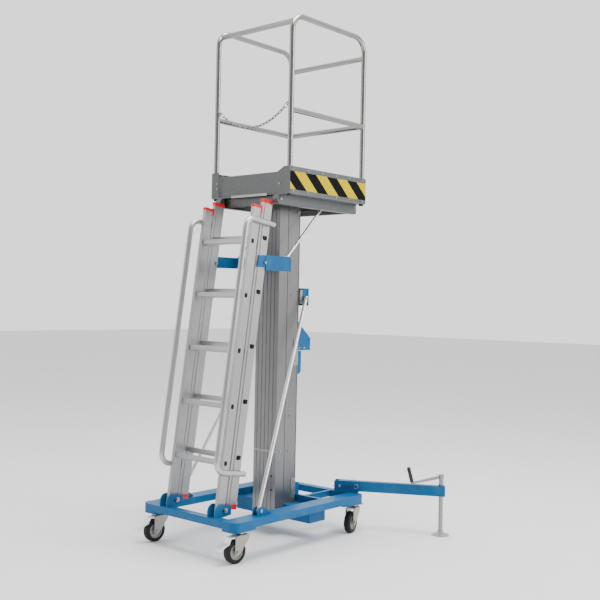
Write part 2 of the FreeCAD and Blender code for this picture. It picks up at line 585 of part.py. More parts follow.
# ---------------------------------------------------------------- lifting mast and platform
def mast_slider():
    """The moving front section: ribbed face, three chambers, two T-keys and the cable's anchor."""
    half, z0, z1 = MAST_W / 2, SLIDER_Z0, DECK_TOP - DECK_T
    body = box(-half, half, SLIDER_Y0, SLIDER_Y1, z0, z1)
    for x0, x1 in ((-half + 4, -32), (-28, 28), (32, half - 4)):
        body = body.cut(box(x0, x1, SLIDER_Y0 + 9, SLIDER_Y1 - 4, z0, z1))
    for x in (-60, -30, 0, 30, 60):
        body = body.cut(box(x - 6, x + 6, SLIDER_Y0, SLIDER_Y0 + 1.8, z0, z1))
    for side in (-half, half):
        body = body.cut(box(side - 2, side + 2, SLIDER_Y1 - 3, SLIDER_Y1, z0, z1))
    keys = []
    for x in (-KEY_X, KEY_X):
        keys.append(box(x - 8, x + 8, SLIDER_Y1, SLIDER_Y1 + 9, z0, z1))
        keys.append(box(x - 15.5, x + 15.5, SLIDER_Y1 + 8.5, SLIDER_Y1 + 17.5, z0, z1))
    anchor = box(-6, 6, SLIDER_Y1, 745, 170, 224)
    slider = fuse([body] + keys + [anchor])
    for z in PLUG_Z:
        slider = slider.cut(rod((PLUG_X, SLIDER_Y0 - 1, z), (PLUG_X, SLIDER_Y0 + 10, z), 6))
    return slider


def cable_tail():
    """The cable's moving run, from the front of the head pulley down to the slider's anchor."""
    y = PULLEY_Y - PULLEY_R - CABLE_R - 0.3
    return rod((0, y, 224), (0, y, PULLEY_Z), CABLE_R)


def deck_plate():
    deck = box(-PLATFORM_X, PLATFORM_X, PLATFORM_Y0, PLATFORM_Y1, DECK_TOP - DECK_T, DECK_TOP)
    return deck


def deck_frame():
    """Two side channels with rounded noses, and four cross beams."""
    z0, z1 = FRAME_Z0, DECK_TOP - DECK_T
    mid, radius = (z0 + z1) / 2, (z1 - z0) / 2
    nose_y = 404 + radius
    outer = box(207, 245, nose_y, 1110, z0, z1).fuse(rod((207, nose_y, mid), (245, nose_y, mid), radius))
    inner = box(203, 241, 440, 1106, z0 + 4, z1 - 4)
    channel = outer.removeSplitter().cut(inner)
    parts = both_sides(channel)
    for y0, y1 in ((455, 495), (560, 602), (868, 908), (1066, 1106)):
        beam = box(-241, 241, y0, y1, z0 + 4, z1 - 4)
        beam = beam.cut(box(-241, 241, y0 + 3, y1 - 3, z0 + 4, z1 - 7))
        parts.append(beam)
    return fuse(parts)


def toe_boards():
    """Left, right and rear boards with a turned-in top edge, and the two front returns."""
    z0, z1 = DECK_TOP, DECK_TOP + BOARD_H
    x, t, lip = PLATFORM_X, BOARD_T, 12.0
    side = box(x - t, x, PLATFORM_Y0, PLATFORM_Y1, z0, z1)
    side = side.fuse(box(x - lip, x, PLATFORM_Y0 + 36, PLATFORM_Y1 - 36, z1 - t, z1))
    corner = [(214, z0), (x, z0), (x, z1), (264, z1), (214, 2079)]
    right_return = prism_xz(corner, PLATFORM_Y0, PLATFORM_Y0 + t)
    left_return = box(-x, -248, PLATFORM_Y0, PLATFORM_Y0 + t, z0, z1)
    lug = box(-x + t, GATE_PIVOT_X + 7, PLATFORM_Y0 + t, GATE_PIVOT_Y + 7, 2084, 2088)
    lug = lug.cut(rod((GATE_PIVOT_X, GATE_PIVOT_Y, 2080), (GATE_PIVOT_X, GATE_PIVOT_Y, 2090), 3))
    lug = lug.cut(rod((-POST_X, POST_Y0, 2080), (-POST_X, POST_Y0, 2092), TUBE_R + 0.5))
    right = side.fuse(right_return).removeSplitter()
    left = mirror_x(side).fuse(left_return).fuse(lug).removeSplitter()
    rear = box(-x + t, x - t, PLATFORM_Y1 - t, PLATFORM_Y1, z0, z1)
    rear = rear.fuse(box(-x + 36, x - 36, PLATFORM_Y1 - lip, PLATFORM_Y1, z1 - t, z1)).removeSplitter()
    return [right, left, rear]


def hazard_bands():
    """Thin striped plates on the two side boards."""
    band = box(PLATFORM_X, PLATFORM_X + 1.2, PLATFORM_Y0 + 3, PLATFORM_Y1 - 2, DECK_TOP + 20, DECK_TOP + 120)
    return both_sides(band)


def hoop_path(x):
    return [(x, POST_Y0, DECK_TOP), (x, POST_Y0, HOOP_TOP), (x, POST_Y1, HOOP_TOP), (x, POST_Y1, DECK_TOP)]


def chain_lug(side):
    """A drilled disc on a short stem, welded to the front post."""
    x = side * CHAIN_X
    disc = hollow_rod((x - 1, CHAIN_Y, CHAIN_Z), (x + 1, CHAIN_Y, CHAIN_Z), 8.4, 5.6)
    stem = rod((x, CHAIN_Y, CHAIN_Z + 9.5), (side * POST_X, CHAIN_Y, CHAIN_Z + 9.5), 2.5)
    return disc.fuse(stem)


def side_mid_rail(side, radius):
    x = side * POST_X
    return rod((x, POST_Y0, MID_RAIL_Z), (x, POST_Y1, MID_RAIL_Z), radius)


def guard_hoop(side):
    """One bent side hoop of the guardrail with its mid rail and chain lug; side is 1 or -1."""
    path = rounded_path(hoop_path(side * POST_X), HOOP_BEND)
    outer, inner = swept(path, TUBE_R), swept(path, TUBE_R - TUBE_WALL)
    rail = side_mid_rail(side, TUBE_R).cut(side_mid_rail(side, TUBE_R - TUBE_WALL))
    return fuse([outer, rail, chain_lug(side)]).cut(inner)


def guard_rails():
    """The straight bars between the two hoops: front top, rear top and rear mid."""
    arc_up = FRONT_TOP_Z - (HOOP_TOP - HOOP_BEND)
    front_y = POST_Y0 + HOOP_BEND - math.sqrt(HOOP_BEND ** 2 - arc_up ** 2)
    bars = []
    for y, z in ((front_y, FRONT_TOP_Z), (POST_Y1, REAR_TOP_Z), (POST_Y1, MID_RAIL_Z)):
        bar = hollow_rod((-POST_X, y, z), (POST_X, y, z), TUBE_R, TUBE_R - TUBE_WALL)
        for side in (1, -1):
            bar = bar.cut(swept(rounded_path(hoop_path(side * POST_X), HOOP_BEND), TUBE_R))
            bar = bar.cut(side_mid_rail(side, TUBE_R))
        bars.append(max(bar.Solids, key=lambda s: s.Volume))
    return bars


def post_plugs():
    """Chamfered plugs under the four posts, and two round ones in the slider's face."""
    plugs = []
    for y in (POST_Y0, POST_Y1):
        plug = rod((POST_X, y, DECK_TOP - DECK_T - 11), (POST_X, y, DECK_TOP - DECK_T), 14)
        plug = plug.makeChamfer(2, [min((e for e in plug.Edges if e.Closed), key=lambda e: e.BoundBox.ZMin)])
        plugs += both_sides(plug)
    for z in PLUG_Z:
        cap = rod((PLUG_X, SLIDER_Y0 - 2, z), (PLUG_X, SLIDER_Y0, z), 7)
        plugs.append(cap.fuse(rod((PLUG_X, SLIDER_Y0, z), (PLUG_X, SLIDER_Y0 + 8, z), 6)).removeSplitter())
    return plugs


def ladder_yoke():
    """Two laminated arms and a cross tube, stood off the slider, that the ladder's top hangs from.

    The right-hand arm's outer plate is the deeper of the two.
    """
    z0, z1, rear = 1548.0, 1611.0, 566.0
    arms = []
    for low in (1528.0, z0):
        bar = prism_yz([(293, 1545), (306, 1609), (rear, z1), (rear, z0), (358, 1545)], 203, 206.5)
        outline = [(359, z1), (548, z1), (559, 1608), (565, 1598), (rear, low), (359, low)]
        arm = bar.fuse(prism_yz(outline, 206.5, 210)).removeSplitter()
        bore = rod((200, YOKE_PIVOT_Y, YOKE_PIVOT_Z), (212, YOKE_PIVOT_Y, YOKE_PIVOT_Z), PIN_R)
        arms.append(arm.cut(bore))
    cross = box(-203, 203, rear - 36, rear, z0, z1 - 2)
    cross = cross.cut(box(-203, 203, rear - 32, rear - 4, z0 + 4, z1 - 6))
    stand = box(-60, 60, rear, SLIDER_Y0, z0 + 6, z1 - 8)
    stand = stand.cut(box(-60, 60, rear + 4, SLIDER_Y0 - 4, z0 + 10, z1 - 12))
    return fuse([arms[0], mirror_x(arms[1]), cross, stand])


def yoke_strut():
    """A polished round stay from a foot plate on the cross tube up to the deck's side channel."""
    low, high, x, seat = (553.0, 1613.0), (850.0, 1917.0), 194.0, 1609.0
    slope = Vector(0, high[0] - low[0], high[1] - low[1]).normalize() * 14
    stay = rod((x, low[0] - slope.y, low[1] - slope.z), (x, *high), 8)
    stay = stay.cut(box(x - 20, x + 20, low[0] - 60, low[0] + 60, seat - 60, seat))
    foot = box(x - 10, x + 8.5, 536, 566, seat, seat + 5)
    pad = rod((x - 2, high[0] - 7, high[1] - 7), (241, high[0] - 7, high[1] - 7), 5)
    return fuse([stay, foot, pad])


def platform_hardware():
    """Yoke pivots, nose bolts, board screws, the deck's front lip, the gate's pin and the slider's strap."""
    y, z = YOKE_PIVOT_Y, YOKE_PIVOT_Z
    parts = both_sides(bolt((175, y, z), (210, y, z), PIN_R, 9, 6))
    mid = (FRAME_Z0 + DECK_TOP - DECK_T) / 2
    parts += both_sides(rod((245, 430, mid), (250, 430, mid), 8))
    face = PLATFORM_Y0
    parts.append(box(-140, 140, face - 3.5, face, 1950, 1964))
    for x, z in ((-262, 2042), (-262, 2012), (231, 2012)):
        parts.append(rod((x, face - 3, z), (x, face, z), 5))
    pin = rod((GATE_PIVOT_X, GATE_PIVOT_Y, DECK_TOP), (GATE_PIVOT_X, GATE_PIVOT_Y, 2088), 3)
    pin = pin.fuse(rod((GATE_PIVOT_X, GATE_PIVOT_Y, 2088), (GATE_PIVOT_X, GATE_PIVOT_Y, 2092), 5))
    parts.append(pin)
    half = MAST_W / 2
    parts.append(box(-half, half, SLIDER_Y0 - 2, SLIDER_Y0, 487, 493))
    parts += [rod((half, 639, 490), (half + 3, 639, 490), 5), rod((half, 632, 462), (half + 3, 632, 462), 4)]
    return parts


def toe_gate():
    """The swinging front board, hinged on a pin beside the left-hand post."""
    panel = box(GATE_PIVOT_X + 12, 246, GATE_PIVOT_Y - 5, GATE_PIVOT_Y - 2, DECK_TOP + 5, 2080)
    leaf = box(GATE_PIVOT_X, GATE_PIVOT_X + 14, GATE_PIVOT_Y - 5, GATE_PIVOT_Y - 2, DECK_TOP + 5, 2080)
    barrel = rod((GATE_PIVOT_X, GATE_PIVOT_Y, DECK_TOP + 5), (GATE_PIVOT_X, GATE_PIVOT_Y, 2080), 6)
    gate = fuse([panel, leaf, barrel])
    x, y = GATE_PIVOT_X, GATE_PIVOT_Y
    return gate.cut(rod((x, y, DECK_TOP), (x, y, 2090), 3 + RUNNING))


# ---------------------------------------------------------------- guard chain
def chain_loop(straight, arc, wire):
    """A chain link about the origin: long axis along X, flat in the XZ plane."""
    parts = []
    for sign in (1, -1):
        bend = Part.makeTorus(arc, wire, Vector(0, 0, 0), Y, -180, 180, 180)
        centre = bend.CenterOfMass
        facing = math.degrees(math.atan2(centre.z, centre.x))
        bend.rotate(Vector(0, 0, 0), Y, facing + (0 if sign > 0 else 180))
        parts.append(moved(bend, sign * straight / 2, 0, 0))
        parts.append(rod((-straight / 2, 0, sign * arc), (straight / 2, 0, sign * arc), wire))
    return fuse(parts)


def catenary_parameter(span, length):
    """Solve length = 2 a sinh(span / 2a) for a by bisection."""
    low, high = span / 20, span * 20
    for _ in range(80):
        a = (low + high) / 2
        if 2 * a * math.sinh(span / (2 * a)) > length:
            low = a
        else:
            high = a
    return a


def guard_chain():
    """End rings and oval links hanging in a catenary between the two front posts."""
    pitch = LINK_STRAIGHT + 2 * LINK_ARC - 2 * LINK_WIRE - LINK_GAP
    ring_len = RING_STRAIGHT + 2 * RING_ARC
    lap = RING_WIRE + LINK_WIRE + LINK_GAP
    length = 2 * (ring_len - lap - RING_PAST_LUG) + (LINK_COUNT - 1) * pitch + LINK_STRAIGHT + 2 * LINK_ARC
    span = 2 * CHAIN_X
    a = catenary_parameter(span, length)
    drop = a * (math.cosh(span / (2 * a)) - 1)
    print(f"guard chain: length {length:.1f}, sag {drop:.1f}")
    low_z = CHAIN_Z - drop
    ring = chain_loop(RING_STRAIGHT, RING_ARC, RING_WIRE)
    link = chain_loop(LINK_STRAIGHT, LINK_ARC, LINK_WIRE)
    half_link = LINK_STRAIGHT / 2 + LINK_ARC
    stations = [(ring, ring_len / 2 - RING_PAST_LUG, False)]
    first = ring_len - RING_PAST_LUG - lap + half_link
    for k in range(LINK_COUNT):
        stations.append((link, first + k * pitch, k % 2 == 0))
    stations.append((ring, length + RING_PAST_LUG - ring_len / 2, False))
    placed = []
    for shape, at, flat in stations:
        s = at - length / 2
        x = a * math.asinh(s / a)
        z = low_z + a * (math.cosh(x / a) - 1)
        slope = math.degrees(math.atan(s / a))
        item = turned(shape, 90 if flat else 0, (0, 0, 0), X)
        item = turned(item, -slope, (0, 0, 0), Y)
        placed.append(moved(item, x, CHAIN_Y, z))
    return placed


# ---------------------------------------------------------------- ladder
def on_ladder(shape):
    """Move a shape from the ladder's own axes (Y its depth, Z along it) to its leaning place."""
    return moved(turned(shape, -LEAN, (0, 0, 0), X), 0, LADDER_Y, LADDER_Z)


def rung_outline(d, s, half, inset=0.0):
    """Flat tread on top, upright cheeks and a blunt keel below."""
    w, top, shoulder, keel = half - inset, 13.0 - inset, -11.0, -17.0 + inset
    return [(d - w, s + top - 2), (d - w + 2, s + top), (d + w - 2, s + top), (d + w, s + top - 2),
            (d + w, s + shoulder), (d + 5, s + keel), (d - 5, s + keel), (d - w, s + shoulder)]


def rungs(d, s, half):
    outer, tubes = [], []
    for k in range(RUNG_COUNT):
        at = s + k * RUNG_PITCH
        solid = prism_yz(rung_outline(d, at, half), -LADDER_X, LADDER_X)
        outer.append(solid)
        tubes.append(solid.cut(prism_yz(rung_outline(d, at, half, 2.0), -LADDER_X, LADDER_X)))
    return outer, tubes


def stile(sections, s0, s1, wall, rung_solids):
    """A box-section stile; sections are (x0, x1, d0, d1) boxes joined face to face."""
    outer = fuse([box(x0, x1, d0, d1, s0, s1) for x0, x1, d0, d1 in sections])
    last = sections[-1]
    inner = [box(x0 + wall, x1 - wall, d0 + wall, d1 - (wall if (x0, x1, d0, d1) == last else -wall), s0, s1)
             for x0, x1, d0, d1 in sections]
    outer = outer.cut(fuse(inner))
    for rung in rung_solids:
        outer = outer.cut(rung)
    return outer


def pivot_hole(d, s, radius):
    return rod((100, d, s), (260, d, s), radius)


def ladder_place(y, z):
    """Depth and height in the ladder's own axes of a point on the whole machine."""
    lean = math.radians(LEAN)
    dy, dz = y - LADDER_Y, z - LADDER_Z
    return dy * math.cos(lean) - dz * math.sin(lean), dy * math.sin(lean) + dz * math.cos(lean)


def fly_section():
    outer, tubes = rungs(FLY_RUNG_D, FLY_RUNG_S, FLY_RUNG_HALF)
    x0, x1 = LADDER_X - STILE_T, LADDER_X
    sections = [(x0 + 3, x1 - 3, FLY_D0, FLY_STEP), (x0, x1, FLY_STEP, FLY_D1)]
    right = stile(sections, FLY_S0, FLY_S1, 2.2, outer)
    right = right.cut(pivot_hole(*ladder_place(YOKE_PIVOT_Y, YOKE_PIVOT_Z), PIN_R + RUNNING))
    return [on_ladder(s) for s in both_sides(right)], [on_ladder(t) for t in tubes]


def front_section():
    outer, tubes = rungs(0.0, 0.0, FRONT_RUNG_HALF)
    x0, x1 = LADDER_X - STILE_T, LADDER_X
    right = stile([(x0, x1, FRONT_D0, FRONT_D1)], FRONT_S0, FRONT_S1, 2.2, outer)
    right = right.cut(pivot_hole(*ladder_place(FOOT_PIVOT_Y, FOOT_PIVOT_Z), PIN_R))
    return [on_ladder(s) for s in both_sides(right)], [on_ladder(t) for t in tubes]


def fly_caps():
    """Moulded sleeves capping the fly section's four stile ends."""
    x0, x1 = LADDER_X - STILE_T, LADDER_X
    body = box(x0, x1, FLY_STEP, FLY_D1, FLY_S0, FLY_S1)
    flange = box(x0 + 3, x1 - 3, FLY_D0, FLY_STEP, FLY_S0, FLY_S1)
    caps = []
    for s0, s1 in ((FLY_S1 - 11, FLY_S1 + 9), (FLY_S0 - 10, FLY_S0 + 17)):
        wide = box(x0 - 2, x1 + 2, FLY_STEP - 2, FLY_D1 + 2, s0, s1)
        narrow = box(x0 + 1, x1 - 1, FLY_D0 - 2, FLY_STEP, s0, s1)
        caps += both_sides(wide.fuse(narrow).removeSplitter().cut(body).cut(flange))
    return [on_ladder(c) for c in caps]


def front_guides():
    """Sleeves on the front section's stile tops, each with a shoe that runs on the fly's front flange."""
    x0, x1 = LADDER_X - STILE_T, LADDER_X
    sleeve = box(x0 - 2, x1 + 0.8, FRONT_D0 - 2, FRONT_D1 + 2, FRONT_S1 - 7, FRONT_S1 + 8)
    shoe = box(x0 - 1, x1 + 0.8, FRONT_D1, FLY_D0 - 0.6, FRONT_S1 - 28, FRONT_S1 + 12)
    stile_top = box(x0, x1, FRONT_D0, FRONT_D1, FRONT_S1 - 60, FRONT_S1)
    guide = fuse([sleeve, shoe]).cut(stile_top)
    return [on_ladder(c) for c in both_sides(guide)]


def foot_pivots():
    """The bolts that hinge the front section's feet in the base ears, each with wide washers."""
    y, z = FOOT_PIVOT_Y, FOOT_PIVOT_Z
    bar = rod((156.6, y, z), (220.4, y, z), PIN_R)
    washers = [rod((153.6, y, z), (156.6, y, z), 13), rod((220.4, y, z), (223.4, y, z), 13)]
    heads = [rod((148.6, y, z), (153.6, y, z), 8.5), rod((223.4, y, z), (229.4, y, z), 8.5)]
    return both_sides(fuse([bar] + washers + heads))


def handrail():
    """A bent grab tube whose legs cross the stiles and bolt to the fly section."""
    x, d = HANDRAIL_X, HANDRAIL_D
    path = [(x, HANDRAIL_END_D, HANDRAIL_S1), (x, d, HANDRAIL_S1), (x, d, HANDRAIL_S0),
            (x, HANDRAIL_END_D, HANDRAIL_S0)]
    tube = bent_tube(path, HANDRAIL_BEND, HANDRAIL_R, HANDRAIL_R - TUBE_WALL)
    middle = (FLY_STEP + FLY_D1) / 2
    for s in (HANDRAIL_S0, HANDRAIL_S1):
        boss = rod((LADDER_X, middle, s), (x, middle, s), 9)
        tube = tube.fuse(boss.cut(rod((x, -200, s), (x, 200, s), HANDRAIL_R - TUBE_WALL)))
    return on_ladder(tube.removeSplitter())


# ---------------------------------------------------------------- write every node
def main():
    os.makedirs("parts", exist_ok=True)
    boxes = []

    def put(name, *shapes):
        boxes.append(save(name, *shapes))

    put("base_frame", base_frame())
    put("mast_cradle", mast_cradle())
    ears = [ladder_ear(158, 164), ladder_ear(213, 219)]
    put("ladder_foot_brackets", *both_sides(ears[0]), *both_sides(ears[1]))
    put("brace_brackets", *both_sides(brace_bracket()))
    put("brace_tubes", *both_sides(brace_tube()))
    put("brace_crossbar", crossbar())
    put("mast_column", mast_column())
    put("mast_foot_brackets", *both_sides(foot_bracket()))
    put("mast_clamp_plates", *clamp_plates())
    put("base_bolts", *base_bolts(), at_outrigger(outrigger_pivot(), "right"),
        at_outrigger(outrigger_pivot(), "left"))
    put("winch_channel", winch_channel())
    put("winch_hood", winch_hood())
    put("lift_cable", lift_cable())
    put("winch_drum", winch_drum())
    put("winch_crank", winch_crank())
    put("winch_grip", winch_grip())
    put("head_pulley", head_pulley())

    put("caster_top_plates", *[moved(caster_plate(), x, y, 0) for x, y, _ in CASTERS.values()])
    for name in CASTERS:
        braked = name.startswith("front")
        put("caster_fork_" + name, at_caster(caster_fork(braked), name))
        put("caster_wheel_" + name, *[at_caster(s, name) for s in caster_wheel()])
        if braked:
            put("caster_pedal_" + name, at_caster(caster_pedal(), name))

    brackets = [at_outrigger(outrigger_bracket(), side) for side in ("right", "left")]
    put("outrigger_brackets", *brackets)
    for side in ("right", "left"):
        put("outrigger_arm_" + side, *[at_outrigger(s, side) for s in outrigger_arm()])
        put("jack_foot_" + side, at_outrigger(jack_foot(), side))
        put("jack_screw_" + side, at_outrigger(jack_screw(), side))
        put("jack_grip_" + side, at_outrigger(jack_grip(), side))

    put("mast_slider", mast_slider())
    put("cable_tail", cable_tail())
    put("deck_plate", deck_plate())
    put("deck_frame", deck_frame())
    put("toe_boards", *toe_boards())
    put("hazard_bands", *hazard_bands())
    put("guard_hoop_right", guard_hoop(1))
    put("guard_hoop_left", guard_hoop(-1))
    put("guard_rails", *guard_rails())
    put("post_plugs", *post_plugs())
    put("ladder_yoke", ladder_yoke())
    put("yoke_struts", *both_sides(yoke_strut()))
    put("platform_hardware", *platform_hardware())
    put("toe_gate", toe_gate())
    put("guard_chain", *guard_chain())

    stiles, tubes = fly_section()
    put("fly_stiles", *stiles)
    put("fly_rungs", *tubes)
    put("fly_caps", *fly_caps())
    put("handrails", *both_sides(handrail()))
    stiles, tubes = front_section()
    put("front_stiles", *stiles)
    put("front_rungs", *tubes)
    put("front_guides", *front_guides())
    put("foot_pivots", *foot_pivots())

    low = [min(getattr(b, a) for b in boxes) for a in ("XMin", "YMin", "ZMin")]
    high = [max(getattr(b, a) for b in boxes) for a in ("XMax", "YMax", "ZMax")]
    print("bounding box", [round(v, 1) for v in low], [round(v, 1) for v in high], "nodes", len(boxes))


main()
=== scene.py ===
import json
import math
import bpy
from mathutils import Matrix, Vector

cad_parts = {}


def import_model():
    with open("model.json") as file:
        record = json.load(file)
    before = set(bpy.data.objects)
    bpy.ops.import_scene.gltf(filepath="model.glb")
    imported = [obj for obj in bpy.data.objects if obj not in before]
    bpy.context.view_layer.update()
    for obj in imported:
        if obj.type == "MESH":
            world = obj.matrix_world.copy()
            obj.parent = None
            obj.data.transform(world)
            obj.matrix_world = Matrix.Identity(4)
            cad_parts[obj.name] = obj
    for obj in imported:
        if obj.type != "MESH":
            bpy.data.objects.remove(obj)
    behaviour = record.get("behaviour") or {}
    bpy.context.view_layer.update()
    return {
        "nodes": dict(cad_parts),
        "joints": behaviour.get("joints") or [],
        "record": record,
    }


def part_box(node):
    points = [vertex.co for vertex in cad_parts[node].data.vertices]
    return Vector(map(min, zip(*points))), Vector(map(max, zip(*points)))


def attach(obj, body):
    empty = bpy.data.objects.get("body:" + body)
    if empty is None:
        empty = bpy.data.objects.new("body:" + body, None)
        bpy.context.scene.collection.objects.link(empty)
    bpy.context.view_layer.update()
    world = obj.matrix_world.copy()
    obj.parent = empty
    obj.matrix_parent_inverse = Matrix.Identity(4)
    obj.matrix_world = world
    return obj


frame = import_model()

NODES = frame["nodes"]
SLOT_OF = {row["node"]: row["material_slot"] for row in frame["record"]["subparts"]}


def joint_named(name):
    return next(joint for joint in frame["joints"] if joint["name"] == name)


# ---------------------------------------------------------------- node graph helpers
class Graph:
    """A material's node tree, with short calls for the few nodes that the finishes share."""

    def __init__(self, name):
        self.material = bpy.data.materials.new(name)
        self.material.use_nodes = True
        self.tree = self.material.node_tree
        self.bsdf = self.tree.nodes["Principled BSDF"]
        self.position = self.node("ShaderNodeTexCoord").outputs["Object"]

    def node(self, kind, **values):
        made = self.tree.nodes.new(kind)
        for key, value in values.items():
            setattr(made, key, value)
        return made

    def feed(self, socket, value):
        if isinstance(value, bpy.types.NodeSocket):
            self.tree.links.new(value, socket)
        else:
            socket.default_value = value

    def stretched(self, scale):
        """Object coordinates scaled along each axis, for a grain that runs one way."""
        made = self.node("ShaderNodeMapping")
        self.feed(made.inputs["Vector"], self.position)
        made.inputs["Scale"].default_value = scale
        return made.outputs["Vector"]

    def noise(self, scale, detail=3.0, rough=0.55, vector=None):
        made = self.node("ShaderNodeTexNoise")
        self.feed(made.inputs["Vector"], vector or self.position)
        made.inputs["Scale"].default_value = scale
        made.inputs["Detail"].default_value = detail
        made.inputs["Roughness"].default_value = rough
        return made.outputs["Fac"]

    def cells(self, scale):
        made = self.node("ShaderNodeTexVoronoi")
        self.feed(made.inputs["Vector"], self.position)
        made.inputs["Scale"].default_value = scale
        return made.outputs["Color"]

    def grey(self, colour):
        made = self.node("ShaderNodeRGBToBW")
        self.feed(made.inputs["Color"], colour)
        return made.outputs["Val"]

    def math(self, operation, a, b=0.0, c=0.0):
        made = self.node("ShaderNodeMath", operation=operation)
        for socket, value in zip(made.inputs, (a, b, c)):
            self.feed(socket, value)
        return made.outputs["Value"]

    def studs(self, waves):
        """Rows of raised lozenges, from two crossed sine waves in the plan."""
        parts = self.node("ShaderNodeSeparateXYZ")
        self.feed(parts.inputs["Vector"], self.position)
        x, y = parts.outputs["X"], parts.outputs["Y"]
        one = self.math("SINE", self.math("MULTIPLY", self.math("ADD", x, y), waves))
        two = self.math("SINE", self.math("MULTIPLY", self.math("SUBTRACT", x, y), waves))
        return self.ranged(self.math("MULTIPLY", one, two), 0.25, 0.55)

    def ribs(self, axis, waves):
        """Fine parallel ridges across one axis."""
        parts = self.node("ShaderNodeSeparateXYZ")
        self.feed(parts.inputs["Vector"], self.position)
        return self.math("SINE", self.math("MULTIPLY", parts.outputs[axis], waves))

    def vector_math(self, operation, a, b, output="Vector"):
        made = self.node("ShaderNodeVectorMath", operation=operation)
        self.feed(made.inputs[0], a)
        self.feed(made.inputs[1], b)
        return made.outputs[output]

    def ranged(self, value, low, high, to_low=0.0, to_high=1.0):
        made = self.node("ShaderNodeMapRange")
        self.feed(made.inputs["Value"], value)
        for key, number in (("From Min", low), ("From Max", high), ("To Min", to_low), ("To Max", to_high)):
            made.inputs[key].default_value = number
        return made.outputs["Result"]

    def mix(self, factor, a, b):
        made = self.node("ShaderNodeMix", data_type="RGBA")
        self.feed(made.inputs["Factor"], factor)
        self.feed(made.inputs["A"], a if isinstance(a, bpy.types.NodeSocket) else (*a, 1.0))
        self.feed(made.inputs["B"], b if isinstance(b, bpy.types.NodeSocket) else (*b, 1.0))
        return made.outputs["Result"]

    def edges(self, radius, low=0.02, high=0.2):
        """About 1 on sharp edges and 0 on flat faces."""
        bevel = self.node("ShaderNodeBevel", samples=4)
        bevel.inputs["Radius"].default_value = radius
        normal = self.node("ShaderNodeNewGeometry").outputs["Normal"]
        turn = self.vector_math("DOT_PRODUCT", bevel.outputs["Normal"], normal, "Value")
        return self.ranged(self.math("SUBTRACT", 1.0, turn), low, high)

    def bump(self, height, strength, distance):
        made = self.node("ShaderNodeBump")
        made.inputs["Strength"].default_value = strength
        made.inputs["Distance"].default_value = distance
        self.feed(made.inputs["Height"], height)
        self.feed(self.bsdf.inputs["Normal"], made.outputs["Normal"])

    def finish(self, colour, roughness, metallic=0.0, **other):
        inputs = self.bsdf.inputs
        socketed = isinstance(colour, bpy.types.NodeSocket)
        self.feed(inputs["Base Color"], colour if socketed else (*colour, 1.0))
        self.feed(inputs["Roughness"], roughness)
        self.feed(inputs["Metallic"], metallic)
        for key, value in other.items():
            inputs[key.replace("_", " ")].default_value = value
        return self.material


# ---------------------------------------------------------------- finishes
def powder_coat(name, colour, edge_highlight_and_wear_colour=(0.05, 0.24, 0.50)):
    """Glossy powder coat with orange peel, faint dust, and edges painted paler as a painted edge highlight,
    patchy like rubbed wear.
    """
    g = Graph(name)
    dust = g.ranged(g.noise(9.0, 5.0, 0.6), 0.45, 0.75)
    shade = g.mix(g.noise(2.5, 2.0), tuple(c * 0.86 for c in colour), tuple(c * 1.12 for c in colour))
    shade = g.mix(g.math("MULTIPLY", dust, 0.06), shade, (0.30, 0.42, 0.52))
    # Every edge is painted a paler blue: a painted edge highlight, made patchy by the chip noise like rubbed
    # wear.
    chips = g.ranged(g.noise(140.0, 3.0, 0.7), 0.42, 0.62)
    edge_highlight_and_wear_mask = g.math("MULTIPLY", g.edges(0.0016), g.math("MULTIPLY_ADD", chips, 0.5, 0.25))
    shade = g.mix(edge_highlight_and_wear_mask, shade, edge_highlight_and_wear_colour)
    rough = g.math("MULTIPLY_ADD", g.noise(35.0), 0.14, 0.34)
    g.bump(g.noise(420.0, 1.0), 0.12, 0.0004)
    return g.finish(shade, rough, Specular_IOR_Level=0.22)


def zinc(name, tone=0.42, rough=0.32):
    """Bright zinc plate: a mottled, faintly yellow-green sheen and dull handling marks."""
    g = Graph(name)
    mottle = g.noise(60.0, 4.0, 0.65)
    colour = g.mix(mottle, (tone * 0.74, tone * 0.76, tone * 0.72), (tone * 1.1, tone * 1.12, tone * 1.1))
    stain = g.ranged(g.noise(14.0, 5.0, 0.7), 0.56, 0.8)
    colour = g.mix(g.math("MULTIPLY", stain, 0.35), colour, (tone * 0.62, tone * 0.55, tone * 0.42))
    roughness = g.math("MULTIPLY_ADD", g.noise(110.0, 3.0), 0.22, rough - 0.11)
    g.bump(g.noise(500.0, 2.0), 0.10, 0.0003)
    return g.finish(colour, roughness, 0.9)


def galvanised(name, tone=0.16, tread=False):
    """Dull galvanised sheet: a soft spangle and rolling streaks, with raised lozenges on a tread."""
    g = Graph(name)
    spangle = g.grey(g.cells(95.0))
    colour = g.mix(spangle, (tone * 0.80, tone * 0.84, tone * 0.84), (tone * 1.02, tone * 1.08, tone * 1.08))
    streak = g.noise(26.0, 4.0, 0.7, g.stretched((1.0, 1.0, 9.0)))
    colour = g.mix(g.ranged(streak, 0.35, 0.75), colour, (tone * 0.70, tone * 0.74, tone * 0.74))
    roughness = g.math("MULTIPLY_ADD", spangle, 0.16, 0.36)
    if tread:
        g.bump(g.studs(300.0), 0.6, 0.0008)
    else:
        g.bump(g.noise(260.0, 2.0), 0.10, 0.0004)
    return g.finish(colour, roughness, 0.8)


